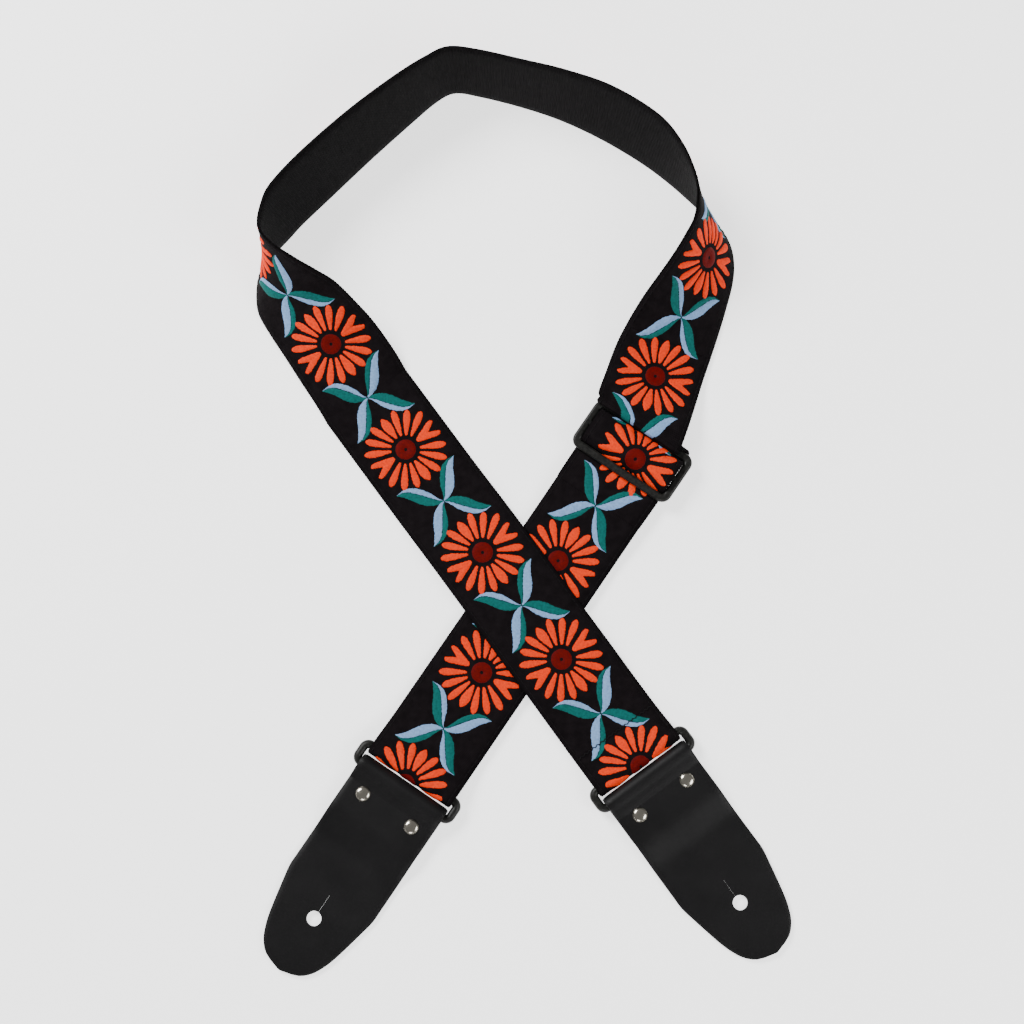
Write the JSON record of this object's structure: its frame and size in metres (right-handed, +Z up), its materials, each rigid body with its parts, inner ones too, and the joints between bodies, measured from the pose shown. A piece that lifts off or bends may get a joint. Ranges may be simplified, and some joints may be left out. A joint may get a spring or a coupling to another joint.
{
  "type": "guitar strap",
  "caption": "Embroidered guitar strap with leather button tabs on ring loops and a slider that sets its length, lying crossed with its loop stood on edge.",
  "frame": {"origin": "middle of the footprint, on the surface that the strap lies on", "axes": "+Z up from the surface, +Y from the two leather tabs towards the top of the loop, +X to the right seen from above"},
  "size_m": [0.2737, 0.4683, 0.05],
  "materials": {
    "webbing": "ribbed black backing webbing",
    "ribbon": "black woven face ribbon",
    "black_thread": "sewing thread",
    "orange_thread": "raised petal embroidery",
    "red_thread": "raised flower centre embroidery",
    "teal_thread": "raised leaf embroidery",
    "blue_thread": "raised leaf embroidery",
    "leather": "smooth black leather",
    "black_plastic": "moulded black plastic",
    "nickel": "nickel-plated steel"
  },
  "bodies": {
    "strap": {"web_shoulder": "webbing", "ribbon_shoulder": "ribbon", "seam_a": "black_thread", "web_upper_run": "webbing", "ribbon_upper_run": "ribbon", "web_run_slider_side": "webbing", "ribbon_run_slider_side": "ribbon", "web_run_ring_side": "webbing", "ribbon_run_ring_side": "ribbon"},
    "slider": {"web_slider": "webbing", "ribbon_slider": "ribbon", "slider": "black_plastic", "web_end_loop": "webbing", "ribbon_end_loop": "ribbon", "seam_b": "black_thread", "web_under_run": "webbing", "ribbon_under_run": "ribbon"},
    "turn_b": {"web_ring_turn": "webbing", "ribbon_ring_turn": "ribbon"},
    "ring_a": {"ring_a": "black_plastic"},
    "tab_a": {"tab_a": "leather", "rivets_a": "nickel", "rivet_backs_a": "nickel"},
    "ring_b": {"ring_b": "black_plastic"},
    "tab_b": {"tab_b": "leather", "rivets_b": "nickel", "rivet_backs_b": "nickel"}
  },
  "joints": [
    {"name": "slider_travel", "type": "slide", "parent": "strap", "child": "slider", "axis": [0.5621, 0.8271, 0], "range_m": [-0.027, 0.035], "deforming": ["web_upper_run", "ribbon_upper_run", "web_run_slider_side", "ribbon_run_slider_side", "web_under_run", "ribbon_under_run"]},
    {"name": "turn_b_travel", "type": "slide", "parent": "strap", "child": "turn_b", "axis": [0.5621, 0.8271, 0], "range_m": [-0.0135, 0.0175], "deforming": ["web_run_ring_side", "ribbon_run_ring_side"]},
    {"name": "ring_a_swing", "type": "hinge", "parent": "strap", "child": "ring_a", "pos_m": [0.0603, -0.1282, 0.00505], "axis": [0.807, 0.5906, 0], "range_deg": [-90, 90]},
    {"name": "tab_a_swing", "type": "hinge", "parent": "ring_a", "child": "tab_a", "pos_m": [0.06621, -0.13627, 0.00505], "axis": [0.807, 0.5906, 0], "range_deg": [-90, 90]},
    {"name": "ring_b_swing", "type": "hinge", "parent": "turn_b", "child": "ring_b", "pos_m": [-0.0522, -0.1342, 0.00505], "axis": [-0.8271, 0.5621, 0], "range_deg": [-90, 90]},
    {"name": "tab_b_swing", "type": "hinge", "parent": "ring_b", "child": "tab_b", "pos_m": [-0.05782, -0.14247, 0.00505], "axis": [-0.8271, 0.5621, 0], "range_deg": [-90, 90]}
  ],
  "couplings": [
    {"joint": "turn_b_travel", "follows": "slider_travel", "ratio": 0.5}
  ]
}
